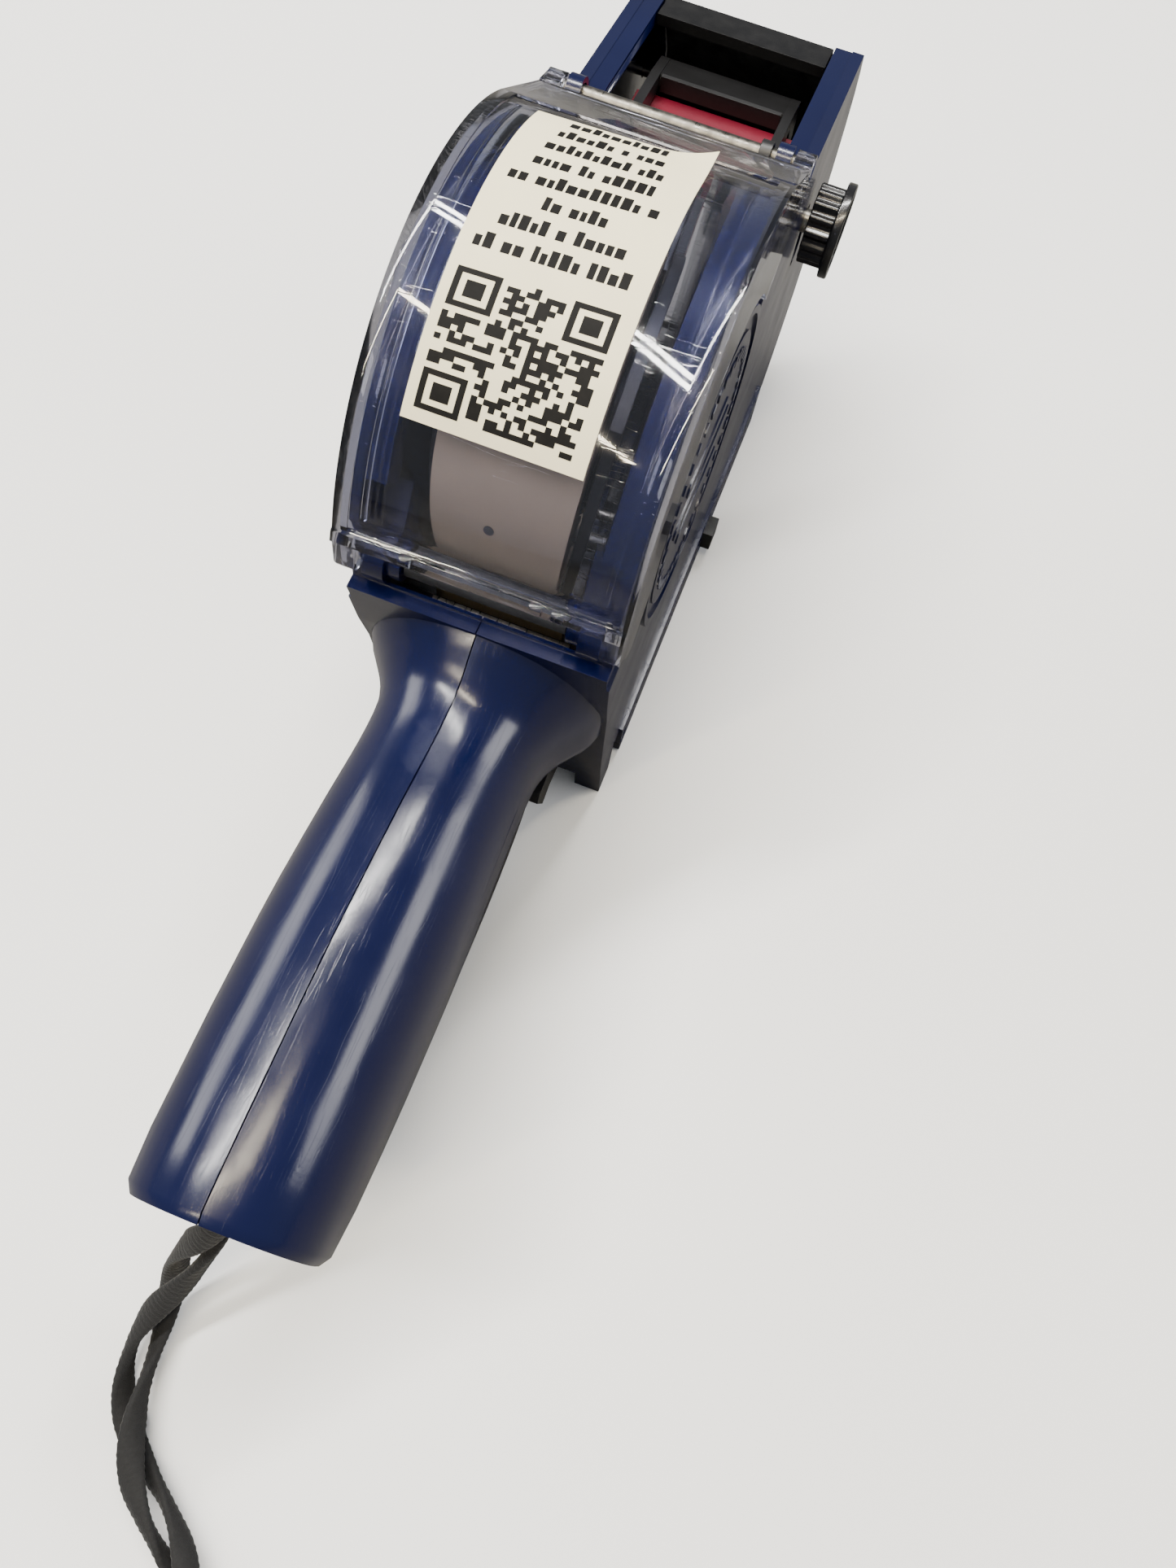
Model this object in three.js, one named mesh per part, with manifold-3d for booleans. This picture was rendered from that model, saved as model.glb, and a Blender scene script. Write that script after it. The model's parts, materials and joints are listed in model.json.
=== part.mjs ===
// A hand-held price labeling gun: a blue two-part casing with a long handle, a clear hinged cover over the
// label roll, a squeeze lever, a print head with eight digit bands, a swinging ink roller, a ratchet feed
// wheel, a hinged base cover and a lanyard. Millimetres; +X forward, +Y left, +Z up; the origin is on the
// base cover's flat bottom, on the gun's median plane.
import * as THREE from "three";
import { mergeVertices } from "three/addons/utils/BufferGeometryUtils.js";
import Module from "manifold-3d";

const wasm = await Module();
wasm.setup();

// ---------- driving dimensions ----------
const GAP = 0.3; // clearance between pieces that touch
const PLATE = 2.2; // wall thickness of the casing
const CASE_HALF = 21.9; // half width of the casing
const COVER_HALF = 22.65; // half width of the clear cover
const BASE_HALF = 22.6; // half width of the base cover
const BASE_TOP = 11.9; // height of the base cover's side walls
const BASE_REAR = -50; // rear end of the base cover
const BASE_FRONT = 45.6;
const BASE_PIN = { x: -48, z: 5.2, r: 1.5 }; // the base cover's hinge pin
const CROWN = { x: -28.8, z: 71.4, r: 44.6, clear: 1.5 }; // the clear cover's round top, seen from the side
const CROWN_REAR = 162; // degrees, where the round top starts at the back
const CROWN_FRONT = 58; // degrees, where it runs out straight to the hinge
const HINGE = { x: 13.5, z: 97, r: 1.4 };
const ROLL = { x: -37, z: 84, r: 26, core: 14, half: 11 };
const GUIDE = { x: -66.1, z: 76.6, r: 2.7 }; // guide roller behind the label roll
const EMBLEM = { r: 28, rise: 0.5, line: 1.4, boss: 23.1 }; // round raised badge on both side walls
const LEVER = { x: -22, z: 30, r: 2, gripHalf: 10.8, armIn: 11.6, armOut: 13.6 };
const HEAD_PIN = { x: 37.5, z: 40, r: 1.5 };
const SELECTOR = { x: 36, z: 68, r: 2.1 }; // the digit wheels' shaft, which carries the knob
const TYPE_BAR = { x: 38, z: 32, r: 3 };
const BAND = { count: 8, pitch: 2.6, width: 2.2, thick: 0.9, wheel: 4.2 };
const HEAD = { front: 45, rear: 29, top: 76, bottom: 28, plateIn: 14.1, plateOut: 15.9 };
const INK = { pivotX: 31, pivotZ: 79.5, x: 47.6, z: 26.2, r: 5.4 };
const FEED = { x: 14, z: 11.6, r: 6, teeth: 12 };
const PAWL = { x: -4.6, z: 14.5, r: 2.4, pin: 1.2 };
const APPLICATOR = { x: 58, z: 8.2, r: 6.5 };
const KNOB = { r: 8.5, barrel: 7.1, inner: 22.9, outer: 29.3, flutes: 16 };
const STRIP = 0.5; // thickness of the label web
const LATCH_X = 6.2;
const CORD = { thick: 3, twistRadius: 2, pitch: 52 };
const DEG = Math.PI / 180;

const PAINT = {
  blue: [0x0b1a6b, 0.25, 0],
  clear: [0xc9d2ee, 0.08, 0],
  black: [0x141416, 0.5, 0],
  glossBlack: [0x0c0c0e, 0.25, 0],
  red: [0xb01232, 0.4, 0],
  steel: [0x6d6a60, 0.35, 0.9],
  rubber: [0x2e3032, 0.8, 0],
  ink: [0x241018, 0.9, 0],
  paper: [0xe9e6d4, 0.8, 0],
  web: [0xa39a8a, 0.7, 0],
  white: [0xdedede, 0.5, 0],
  cord: [0x0d0d0d, 0.95, 0],
};

// ---------- helpers ----------
const group = new THREE.Group();

function add(name, geometry, paint) {
  const [color, roughness, metalness] = PAINT[paint];
  const mesh = new THREE.Mesh(geometry, new THREE.MeshStandardMaterial({ color, roughness, metalness }));
  mesh.name = name;
  group.add(mesh);
}

// A closed three.js geometry as a solid for joining and cutting.
function solid(geometry) {
  const bare = geometry.index ? geometry.toNonIndexed() : geometry.clone();
  bare.deleteAttribute("normal");
  bare.deleteAttribute("uv");
  const merged = mergeVertices(bare, 1e-3);
  return new wasm.Manifold(
    new wasm.Mesh({
      numProp: 3,
      vertProperties: merged.attributes.position.array,
      triVerts: new Uint32Array(merged.index.array),
    }),
  );
}

function geometryOf(made) {
  const mesh = made.getMesh();
  const geometry = new THREE.BufferGeometry();
  geometry.setAttribute("position", new THREE.BufferAttribute(new Float32Array(mesh.vertProperties), 3));
  geometry.setIndex(new THREE.BufferAttribute(new Uint32Array(mesh.triVerts), 1));
  return geometry;
}

const join = (...parts) => geometryOf(parts.map(solid).reduce((a, b) => a.add(b)));
const cut = (body, ...tools) => geometryOf(tools.map(solid).reduce((a, b) => a.subtract(b), solid(body)));

const point = ([x, z]) => new THREE.Vector2(x, z);

// A side view outline, as a list of [x, z], made into a plate from y0 to y1.
function plate(outline, y0, y1, holes = []) {
  const shape = new THREE.Shape(outline.map(point));
  holes.forEach((h) => shape.holes.push(new THREE.Path(h.map(point))));
  const geometry = new THREE.ExtrudeGeometry(shape, { depth: y1 - y0, bevelEnabled: false });
  return geometry.rotateX(Math.PI / 2).translate(0, y1, 0);
}

const box = (x0, x1, y0, y1, z0, z1) =>
  new THREE.BoxGeometry(x1 - x0, y1 - y0, z1 - z0).translate((x0 + x1) / 2, (y0 + y1) / 2, (z0 + z1) / 2);

const rod = (x, z, r, y0, y1, sides = 16) =>
  new THREE.CylinderGeometry(r, r, y1 - y0, sides).translate(x, (y0 + y1) / 2, z);

const ring = (x, z, r, bore, y0, y1, sides = 24) =>
  cut(rod(x, z, r, y0, y1, sides), rod(x, z, bore, y0 - 1, y1 + 1, sides));

// A stretch of the Y axis on one side of the median plane: side is 1 for the left and -1 for the right.
const spanOn = (side) => (a, b) => (side > 0 ? [a, b] : [-b, -a]);

// Points on a circle in the side view, from one angle to another in degrees.
function arc(x, z, r, from, to, steps) {
  return Array.from({ length: steps + 1 }, (_, i) => {
    const a = (from + ((to - from) * i) / steps) * DEG;
    return [x + r * Math.cos(a), z + r * Math.sin(a)];
  });
}

// The side view outline of a band of even thickness along a line of [x, z] points.
function ribbon(line, thick) {
  const side = (sign) =>
    line.map(([x, z], i) => {
      const [ax, az] = line[Math.max(i - 1, 0)];
      const [bx, bz] = line[Math.min(i + 1, line.length - 1)];
      const long = Math.hypot(bx - ax, bz - az);
      return [x - (sign * (bz - az) * thick) / 2 / long, z + (sign * (bx - ax) * thick) / 2 / long];
    });
  return [...side(-1), ...side(1).reverse()];
}

// The outline of a belt round two wheels of the same radius, one above the other.
function loopOutline(r) {
  const tilt = Math.atan2(TYPE_BAR.z - SELECTOR.z, TYPE_BAR.x - SELECTOR.x) / DEG;
  return [
    ...arc(SELECTOR.x, SELECTOR.z, r, tilt + 90, tilt + 270, 6),
    ...arc(TYPE_BAR.x, TYPE_BAR.z, r, tilt - 90, tilt + 90, 6),
  ];
}

const crownArc = (r, from, to, steps) => arc(CROWN.x, CROWN.z, r, from, to, steps);

// ---------- casing ----------
// Handle sections from the end to the body: x, half width, bottom, top.
const HANDLE = [
  [-162.7, 8.5, 46.5, 66.5],
  [-162.3, 12, 42.6, 70.1],
  [-161, 14.5, 40, 72.5],
  [-145, 15.2, 37.4, 73],
  [-128, 15.3, 36.3, 72.6],
  [-115, 15.2, 36.2, 71.4],
  [-100, 14.7, 36, 69.4],
  [-92, 14.4, 36, 67.8],
  [-86, 14.3, 36, 66.8],
  [-81, 14.5, 35.8, 66.8],
  [-77.5, 15.4, 35.4, 68.2],
  [-74.5, 17, 34.8, 70.4],
  [-71.8, 18.9, 34, 72.1],
  [-68.6, 20.9, 33.4, 72.5],
  [-63, CASE_HALF, 33, 72.7],
];
const OUTER_SIDES = 36;
const INNER_SIDES = 20;

// The handle's sections with one more between each two, on a smooth curve.
function smoothSections() {
  const through = (pick) => new THREE.CatmullRomCurve3(HANDLE.map(pick), false, "catmullrom");
  const low = through(([x, half, bottom]) => new THREE.Vector3(x, half, bottom));
  const high = through(([x, half, , top]) => new THREE.Vector3(x, half, top));
  const steps = 2 * (HANDLE.length - 1);
  return Array.from({ length: steps + 1 }, (_, i) => {
    const { x, y: half, z: bottom } = low.getPoint(i / steps);
    return [x, half, bottom, high.getPoint(i / steps).z];
  });
}

// One ring of a handle section: a crowned top, straight flanks and a flatter bottom.
function sectionRing([x, half, low, high], inset, sides) {
  const w = half - inset;
  const middle = low + (high - low) * 0.42;
  return Array.from({ length: sides }, (_, i) => {
    const a = (i / sides) * 2 * Math.PI;
    const up = Math.sin(a) >= 0;
    const power = up ? 2 / 2.2 : 2 / 3.6;
    const reach = up ? high - inset - middle : middle - low - inset;
    const bend = (v) => Math.sign(v) * Math.abs(v) ** power;
    return new THREE.Vector3(x, w * bend(Math.cos(a)), middle + reach * bend(Math.sin(a)));
  });
}

// A closed skin through rings of points that run round the +X axis.
function loft(rings) {
  const sides = rings[0].length;
  const points = rings.flat();
  const index = [];
  for (let r = 0; r + 1 < rings.length; r++)
    for (let i = 0; i < sides; i++) {
      const a = r * sides + i;
      const b = r * sides + ((i + 1) % sides);
      index.push(a, b, a + sides, b, b + sides, a + sides);
    }
  const last = (rings.length - 1) * sides;
  for (let i = 1; i + 1 < sides; i++) {
    index.push(0, i + 1, i);
    index.push(last, last + i, last + i + 1);
  }
  const geometry = new THREE.BufferGeometry().setFromPoints(points);
  geometry.setIndex(index);
  return geometry;
}

const handleOuter = loft(smoothSections().map((s) => sectionRing(s, 0, OUTER_SIDES)));

// The hollow inside the handle starts one wall thickness in from its end.
function handleInner() {
  const [, end, , ...rest] = HANDLE;
  const [x, ...size] = end;
  return loft([[x + PLATE, ...size], ...rest].map((s) => sectionRing(s, PLATE, INNER_SIDES)));
}

const WALL_TOP = 42; // radius of the side walls' round top, under the clear cover
const FRONT_EDGE = [
  [57, 0],
  [61.5, 5.5],
  [65.6, 12.5],
  [69, 20],
  [70.6, 28],
  [71, 40],
  [70.8, 52],
  [70, 62],
  [68, 71],
  [64.6, 79],
  [61.6, 84],
];
const SIDE_VIEW = [
  [-60, 0],
  [-54, 0],
  [-54, 12.3],
  [46, 12.3],
  [46, 0],
  ...FRONT_EDGE,
  [27, 89],
  [19, 92.2],
  [13, 93],
  [8.4, 96.2],
  ...crownArc(WALL_TOP, 50, 160, 14),
  [-69.4, 79],
  [-69.8, 72.7],
  [-72.2, 72.7],
  [-71.5, 68.6],
  [-70, 59.5],
  [-67.8, 50],
  [-66.4, 39.2],
  [-63.4, 18.7],
  [-61.8, 12],
];
// The hollow between the side walls, open at the top, at the front and at the bottom.
const HOLLOW = [
  [-52, -1],
  [80, -1],
  [80, 130],
  [-76, 130],
  [-76, 73.1],
  [-69.2, 73.1],
  [-69.2, 66],
  [-65.8, 50],
  [-64.3, 39],
  [-61, 22],
  [-56, 12],
];

function casing() {
  const body = plate(SIDE_VIEW, -CASE_HALF, CASE_HALF);
  const inside = CASE_HALF - PLATE;
  const hollow = plate(HOLLOW, -inside, inside);
  const seatFront = [[12.2, 90.4], [17.4, 95.4]];
  const coverSeat = [...crownArc(60, 45, 184, 12), ...crownArc(27.4, 184, 20, 14), ...seatFront];
  const seats = [1, -1].map((side) => plate(coverSeat, ...spanOn(side)(CASE_HALF - 0.5, CASE_HALF + 5)));
  const leverGate = box(-75, -55, -14.2, 14.2, 13, 33.5);
  const baseArch = box(-63, -55.5, -16.5, 16.5, -1, 8);
  const baseRoom = box(-54, -50, -CASE_HALF - 1, CASE_HALF + 1, -1, 12.1);
  return cut(join(body, handleOuter), hollow, handleInner(), ...seats, leverGate, baseArch, baseRoom);
}

// The thick rim along the nose's top edge and front corner.
const NOSE_RAIL = [
  [22, 87.9],
  [27, 88.9],
  [61.4, 83.9],
  [64.5, 78.9],
  [67.9, 71],
  [69.9, 62],
  [67.6, 61.6],
  [65.7, 70.2],
  [60.2, 81.2],
  [27, 86.4],
];

// One half of the casing; side is 1 for the left one and -1 for the right one.
function half(side) {
  const span = spanOn(side);
  const inWall = CASE_HALF - 1;
  const emblemRim = EMBLEM.r - 0.9;
  const rimY = span(inWall, CASE_HALF + EMBLEM.rise);
  const noseRail = plate(NOSE_RAIL, ...span(16.5, inWall));
  const bayRim = [...crownArc(WALL_TOP - 0.2, 56, 150, 10), ...crownArc(WALL_TOP - 3.4, 150, 56, 10)];
  const foot = box(46.2, 57, ...span(17.5, inWall), 0, 3);
  const emblem = ring(CROWN.x, CROWN.z, emblemRim, emblemRim - EMBLEM.line, ...rimY, 36);
  const boss = rod(CROWN.x, CROWN.z, EMBLEM.boss, ...span(inWall, CASE_HALF + 0.35), 36);
  const hingeLug = ring(HINGE.x, HINGE.z, 2.6, HINGE.r + GAP, ...span(16.5, 19), 16);
  const hingeWeb = plate([[11.6, 96], [12.2, 90], [22, 87.9], [19, 92.4], [15.4, 95.2]], ...span(16.5, 19.2));
  const webRoot = plate([[9, 88], [20, 86], [19.6, 91], [13, 92.2], [9, 94]], ...span(16.5, inWall));
  const guideBoss = rod(GUIDE.x, GUIDE.z, 4.9, ...span(15.6, inWall), 24);
  const guideCollar = rod(GUIDE.x, GUIDE.z, 3.7, ...span(13.4, 16), 24);
  const guideTab = plate([[-62.5, 76], [-58, 86], [-60.5, 88], [-66.5, 80]], ...span(15.6, inWall));
  const lugNose = arc(BASE_PIN.x, BASE_PIN.z, 2.8, 180, 360, 8);
  const baseLug = plate([...lugNose, [BASE_PIN.x + 2.8, 13], [BASE_PIN.x - 2.8, 13]], ...span(15.5, 19.8));
  const lugRoot = box(BASE_PIN.x - 4, BASE_PIN.x + 4, ...span(15.5, inWall), 12.4, 15);
  const halfSpace = solid(box(-200, 120, ...span(0.1, 60), -10, 150));
  const pieces = [
    noseRail,
    plate(bayRim, ...span(16.5, inWall)),
    foot,
    emblem,
    boss,
    hingeLug,
    hingeWeb,
    webRoot,
    guideBoss,
    guideCollar,
    guideTab,
    baseLug,
    lugRoot,
  ];
  const tools = [
    rod(HINGE.x, HINGE.z, HINGE.r + GAP, ...span(10, 30)),
    rod(GUIDE.x, GUIDE.z, 1.5, ...span(10, 20.4)),
    rod(BASE_PIN.x, BASE_PIN.z, BASE_PIN.r + GAP, ...span(10, 23)),
    rod(LEVER.x, LEVER.z, LEVER.r + GAP, ...span(10, 20.6)),
    rod(FEED.x, FEED.z, 1.8, ...span(10, 20.6)),
    rod(PAWL.x, PAWL.z, PAWL.pin + GAP, ...span(10, 20.6)),
    box(-80, -69.75, ...span(19.1, 30), 73.2, 90),
    ...(side > 0 ? [...SCREWS.map(screwHole), box(-161.8, -155, 0.8, 8.6, 30, 44)] : [knobSlot()]),
  ];
  return cut(join(geometryOf(solid(casing()).intersect(halfSpace)), ...pieces), ...tools);
}

// The upright slot in the right wall that the knob's shaft rides down as the print head drops.
function knobSlot() {
  const drop = 7.2;
  const r = SELECTOR.r + 0.9;
  const outline = [
    ...arc(SELECTOR.x, SELECTOR.z, r, 0, 180, 8),
    ...arc(SELECTOR.x, SELECTOR.z - drop, r, 180, 360, 8),
  ];
  return plate(outline, -CASE_HALF - 2, -14);
}

// Screws that hold the two halves, driven from the left: x, z and the wall's outer face at that place.
const SCREWS = [
  { x: -150, z: 54, face: 15.1 },
  { x: -58, z: 44, face: CASE_HALF },
  { x: 22, z: 44, face: CASE_HALF },
  { x: 63, z: 66, face: CASE_HALF },
];
const SCREW = { head: 2.6, headDeep: 1.2, shank: 1.1, long: 7 };

function screwHole({ x, z, face }) {
  return join(
    rod(x, z, SCREW.head + GAP, face - SCREW.headDeep - 0.5, face + 3, 16),
    rod(x, z, SCREW.shank + GAP, face - 6, face, 12),
  );
}

function shellScrew({ x, z, face }) {
  const top = face - 0.45;
  const head = rod(x, z, SCREW.head, top - SCREW.headDeep + 0.3, top, 16);
  const shank = rod(x, z, SCREW.shank, top - SCREW.long, top - 0.4, 12);
  const slot = box(x - 1.6, x + 1.6, top - 0.5, top + 1, z - 0.3, z + 0.3);
  const crossSlot = box(x - 0.3, x + 0.3, top - 0.5, top + 1, z - 1.6, z + 1.6);
  return cut(join(head, shank), slot, crossSlot);
}

// ---------- base ----------
function baseCover() {
  const outline = [
    [BASE_REAR, 2],
    [BASE_REAR + 0.8, 0],
    [BASE_FRONT, 0],
    [BASE_FRONT, BASE_TOP],
    [BASE_REAR, BASE_TOP - 0.6],
  ];
  const side = plate(outline, -BASE_HALF, BASE_HALF);
  const inside = box(BASE_REAR - 5, BASE_FRONT + 5, -BASE_HALF + 2.2, BASE_HALF - 2.2, 2, 20);
  const latchHoles = box(LATCH_X - 3.1, LATCH_X + 3.1, -30, 30, 3, 9.6);
  const pinHole = rod(BASE_PIN.x, BASE_PIN.z, BASE_PIN.r + GAP, -30, 30);
  const ribs = [-8, 8].map((y) => box(-38, 38, y - 0.7, y + 0.7, 1.5, 3.4));
  return join(cut(side, inside, latchHoles, pinHole), ...ribs);
}

function baseLatch(side) {
  const span = spanOn(side);
  const tab = box(LATCH_X - 2.6, LATCH_X + 2.6, ...span(16.6, 24.8), 3.6, 9);
  const flange = box(LATCH_X - 4.6, LATCH_X + 4.6, ...span(17, 18.6), 2.6, 11.4);
  return join(tab, flange);
}

// ---------- clear cover ----------
const HINGE_RUN = [[9.3, 100.4]]; // the crown's front edge, just behind the hinge pin

function topCover() {
  const inner = CROWN.r - CROWN.clear;
  const crown = plate(
    [
      ...crownArc(CROWN.r, CROWN_REAR, CROWN_FRONT, 18),
      ...HINGE_RUN,
      [8.5, 99.1],
      ...crownArc(inner, CROWN_FRONT, CROWN_REAR, 18),
    ],
    -COVER_HALF,
    COVER_HALF,
  );
  const skirtOutline = [
    ...crownArc(CROWN.r - 0.2, 160, CROWN_FRONT, 16),
    ...HINGE_RUN,
    [HINGE.x, HINGE.z + 1.9],
    [HINGE.x + 1.9, HINGE.z],
    [HINGE.x - 1, HINGE.z - 2.4],
    ...crownArc(EMBLEM.r + 0.6, 32, 172, 16),
    [-66.5, 74.6],
    [-70.4, 77.6],
  ];
  const parts = [1, -1].flatMap((side) => {
    const span = spanOn(side);
    const rearEar = [[-72.2, 79], [-71.2, 86], [-69.9, 86], [-70, 78.4], [-71.4, 77.8]];
    return [
      plate(skirtOutline, ...span(21.75, COVER_HALF)),
      plate(rearEar, ...span(19.4, COVER_HALF)),
      ring(HINGE.x, HINGE.z, 2.3, HINGE.r + GAP, ...span(19.6, COVER_HALF), 20),
      plate([[8.6, 98.4], [9.6, 100.5], [13.5, 99.3], [12, 97.9]], ...span(19.6, COVER_HALF)),
    ];
  });
  const lip = plate([[-72.3, 84.2], [-71, 86.4], [-69.6, 86], [-70.6, 83.6]], -COVER_HALF, COVER_HALF);
  const bore = rod(HINGE.x, HINGE.z, HINGE.r + GAP, -30, 30, 20);
  return cut(join(crown, lip, ...parts), bore);
}

function sticker() {
  const from = 135.7;
  const to = 64.5;
  const lift = CROWN.r + GAP;
  return plate([...crownArc(lift, to, from, 14), ...crownArc(lift + 0.3, from, to, 14)], -11, 15.4);
}

// ---------- label roll and web ----------
const WEB_LINE = [
  ...arc(ROLL.x, ROLL.z, ROLL.r + 0.7, 150, 186, 5),
  [-62.4, 74],
  [-62.4, 66],
  [-61.8, 50],
  [-60, 34],
  [-56, 24],
  [-50, 19.6],
  [-40, 18.9],
  [0, 18.9],
  [30, 19.1],
  [55.4, 19.1],
];

function labelWeb() {
  return plate(ribbon(WEB_LINE, STRIP), -ROLL.half, ROLL.half);
}

function rollCheek(side) {
  const span = spanOn(side);
  const outline = [
    ...arc(ROLL.x, ROLL.z, 26.4, 128, 20, 14),
    [6, 92],
    [8, 74],
    [-4, 58],
    ...arc(ROLL.x, ROLL.z, 26.4, -60, -150, 9),
    ...arc(ROLL.x, ROLL.z, 22, 180, 140, 5),
  ];
  const hub = rod(ROLL.x, ROLL.z, 12.4, ...span(0.8, 13), 28);
  const hubBore = rod(ROLL.x, ROLL.z, 10.6, ...span(-1, 12), 28);
  return cut(join(plate(outline, ...span(12, 14)), hub), hubBore);
}

function rollGuard() {
  const inner = ROLL.r + 1.8;
  const outline = [
    ...arc(ROLL.x, ROLL.z, inner, -30, 14, 8),
    [4.4, 91.6],
    [6.2, 90.4],
    ...arc(ROLL.x, ROLL.z, inner + 1.6, 12, -30, 8),
  ];
  return plate(outline, -11.7, 11.7);
}

// ---------- lever ----------
const smoothLine = (points, steps) =>
  new THREE.SplineCurve(points.map(point)).getPoints(steps).map((p) => [p.x, p.y]);

const GRIP_TOP = [
  [-76, 26.6],
  [-84, 20.4],
  [-96, 16.6],
  [-112, 15.4],
  [-130, 16.6],
  [-146, 19.6],
];
const GRIP_BOTTOM = [
  [-149.4, 12.5],
  [-132, 9.2],
  [-112, 7.4],
  [-94, 7.8],
  [-80, 11.4],
  [-72.6, 16.6],
];
const GRIP_END = arc(-149.4, 16.2, 3.7, 75, 260, 8);
const GRIP = [...smoothLine(GRIP_TOP, 15), ...GRIP_END, ...smoothLine(GRIP_BOTTOM, 15)];

function triggerLever() {
  const grip = plate(GRIP, -LEVER.gripHalf, LEVER.gripHalf);
  const yokeOutline = [[-76.4, 24], [-72.8, 15.6], [-68.8, 17.6], [-69, 27.4], [-75.4, 26.4]];
  const yoke = plate(yokeOutline, -LEVER.armOut, LEVER.armOut);
  const arm = [
    [-70, 27.2],
    [-69.6, 17.4],
    [-56, 14.6],
    [-44, 18],
    [-28, 24],
    ...arc(LEVER.x, LEVER.z, 6, 230, 300, 4),
    [30, 35.6],
    [44.4, 35.6],
    [44.4, 37.6],
    [34.6, 37.6],
    [34.6, 42.4],
    [44.4, 42.4],
    [44.4, 45],
    [29, 45],
    ...arc(LEVER.x, LEVER.z, 6, 60, 120, 4),
    [-44, 29],
    [-56, 27],
  ];
  const arms = [1, -1].map((side) => plate(arm, ...spanOn(side)(LEVER.armIn, LEVER.armOut)));
  const springLug = box(3, 8, LEVER.armOut - 0.5, 18.6, 33, 35.4);
  const bore = rod(LEVER.x, LEVER.z, LEVER.r + GAP, -30, 30, 20);
  return cut(join(grip, yoke, ...arms, springLug), bore);
}

const SPRING = { x: 5.5, y: 16.9, low: 35.8, high: 52, coil: 1.5, wire: 0.35, turns: 6 };

// A closed helical extension spring with a straight tail at each end.
function returnSpring() {
  const steps = 8 * SPRING.turns;
  const points = Array.from({ length: steps + 1 }, (_, i) => {
    const a = (i / 8) * 2 * Math.PI;
    const z = SPRING.low + ((SPRING.high - SPRING.low) * i) / steps;
    return new THREE.Vector3(SPRING.x + SPRING.coil * Math.cos(a), SPRING.y + SPRING.coil * Math.sin(a), z);
  });
  return along(points, SPRING.wire, 5, steps);
}

// A solid of round section along a smooth line of points.
function along(points, r, sides, steps) {
  const section = new THREE.Shape(
    Array.from({ length: sides }, (_, i) => {
      const a = (i / sides) * 2 * Math.PI;
      return new THREE.Vector2(r * Math.cos(a), r * Math.sin(a));
    }),
  );
  const extrudePath = new THREE.CatmullRomCurve3(points);
  return new THREE.ExtrudeGeometry(section, { steps, bevelEnabled: false, extrudePath });
}

// ---------- print head ----------
function headFrame() {
  const roof = box(HEAD.rear, HEAD.front, -HEAD.plateOut, HEAD.plateOut, HEAD.top - 1.8, HEAD.top);
  const outline = [
    [HEAD.rear, HEAD.top],
    [HEAD.rear, 60],
    [33, 44],
    [33, HEAD.bottom],
    [43, HEAD.bottom],
    [43, 44],
    [HEAD.front, 60],
    [HEAD.front, HEAD.top],
  ];
  const sides = [1, -1].map((side) => plate(outline, ...spanOn(side)(HEAD.plateIn, HEAD.plateOut)));
  const typeBar = rod(TYPE_BAR.x, TYPE_BAR.z, TYPE_BAR.r, -HEAD.plateIn - 0.5, HEAD.plateIn + 0.5, 20);
  const window = box(33.4, 41, -10.6, 10.6, HEAD.top - 3, HEAD.top + 1);
  const bores = [
    rod(SELECTOR.x, SELECTOR.z, SELECTOR.r + GAP, -30, 30, 20),
    rod(HEAD_PIN.x, HEAD_PIN.z, HEAD_PIN.r + GAP, -30, 30),
  ];
  return cut(join(roof, ...sides, typeBar), window, ...bores);
}

const bandPlace = (k) => (k - (BAND.count - 1) / 2) * BAND.pitch;

function digitBand(k) {
  const y = bandPlace(k);
  const r = BAND.wheel + GAP;
  return plate(loopOutline(r + BAND.thick), y - BAND.width / 2, y + BAND.width / 2, [loopOutline(r)]);
}

function digitWheel(k) {
  const y = bandPlace(k);
  const across = [y - BAND.width / 2, y + BAND.width / 2];
  return ring(SELECTOR.x, SELECTOR.z, BAND.wheel, SELECTOR.r + GAP, ...across, 12);
}

function knob() {
  const flutes = Array.from({ length: KNOB.flutes }, (_, i) => (i / KNOB.flutes) * 2 * Math.PI);
  const barrel = new THREE.Shape(
    flutes.flatMap((a) =>
      [0, 0.25, 0.5, 0.75].map((part) => {
        const t = a + (part * 2 * Math.PI) / KNOB.flutes;
        const r = KNOB.barrel - (part === 0.25 || part === 0.5 ? 0.7 : 0);
        return new THREE.Vector2(SELECTOR.x + r * Math.cos(t), SELECTOR.z + r * Math.sin(t));
      }),
    ),
  );
  const long = KNOB.outer - KNOB.inner;
  const grip = new THREE.ExtrudeGeometry(barrel, { depth: long - 1, bevelEnabled: false });
  grip.rotateX(Math.PI / 2).translate(0, -KNOB.inner, 0);
  const flange = rod(SELECTOR.x, SELECTOR.z, KNOB.r, -KNOB.outer, -KNOB.outer + 1.7, 32);
  const dish = rod(SELECTOR.x, SELECTOR.z, KNOB.r - 1.4, -KNOB.outer - 1, -KNOB.outer + 0.6, 32);
  const bore = rod(SELECTOR.x, SELECTOR.z, SELECTOR.r + GAP, -KNOB.outer + 2.6, 0, 16);
  return cut(join(grip, flange), dish, bore);
}

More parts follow.
